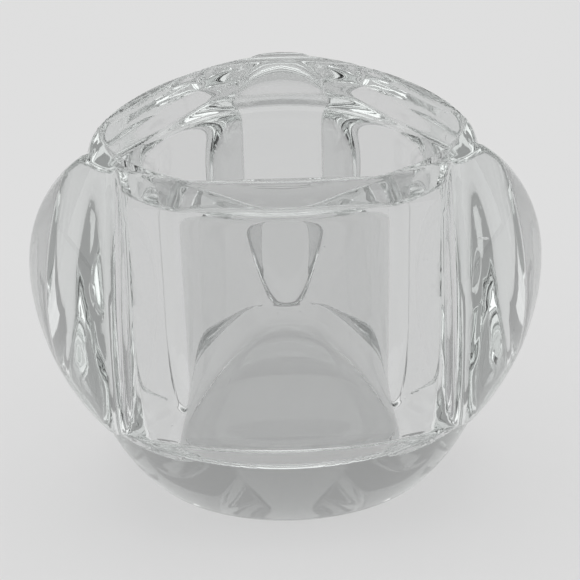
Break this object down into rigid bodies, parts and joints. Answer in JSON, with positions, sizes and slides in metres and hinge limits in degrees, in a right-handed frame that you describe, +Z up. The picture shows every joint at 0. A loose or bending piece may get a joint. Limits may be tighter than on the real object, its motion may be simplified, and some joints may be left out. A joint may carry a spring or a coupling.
{
  "type": "glass votive holder",
  "caption": "Thick clear-glass votive candle holder with a lobed body, recessed bowed windows, a shelf inside the rim, a round candle cup with three leaning flats and a round bowl base on a flat foot.",
  "frame": {"origin": "middle of the flat foot, on the table", "axes": "+Z up through the mouth; -Y out of the window that faces the viewer; the shape repeats every third of a turn about Z"},
  "size_m": [0.1044, 0.0951, 0.075],
  "materials": {
    "clear_glass": "fire-polished, clear with a faint green cast"
  },
  "bodies": {
    "root": {"glass_body": "clear_glass"}
  },
  "joints": []
}
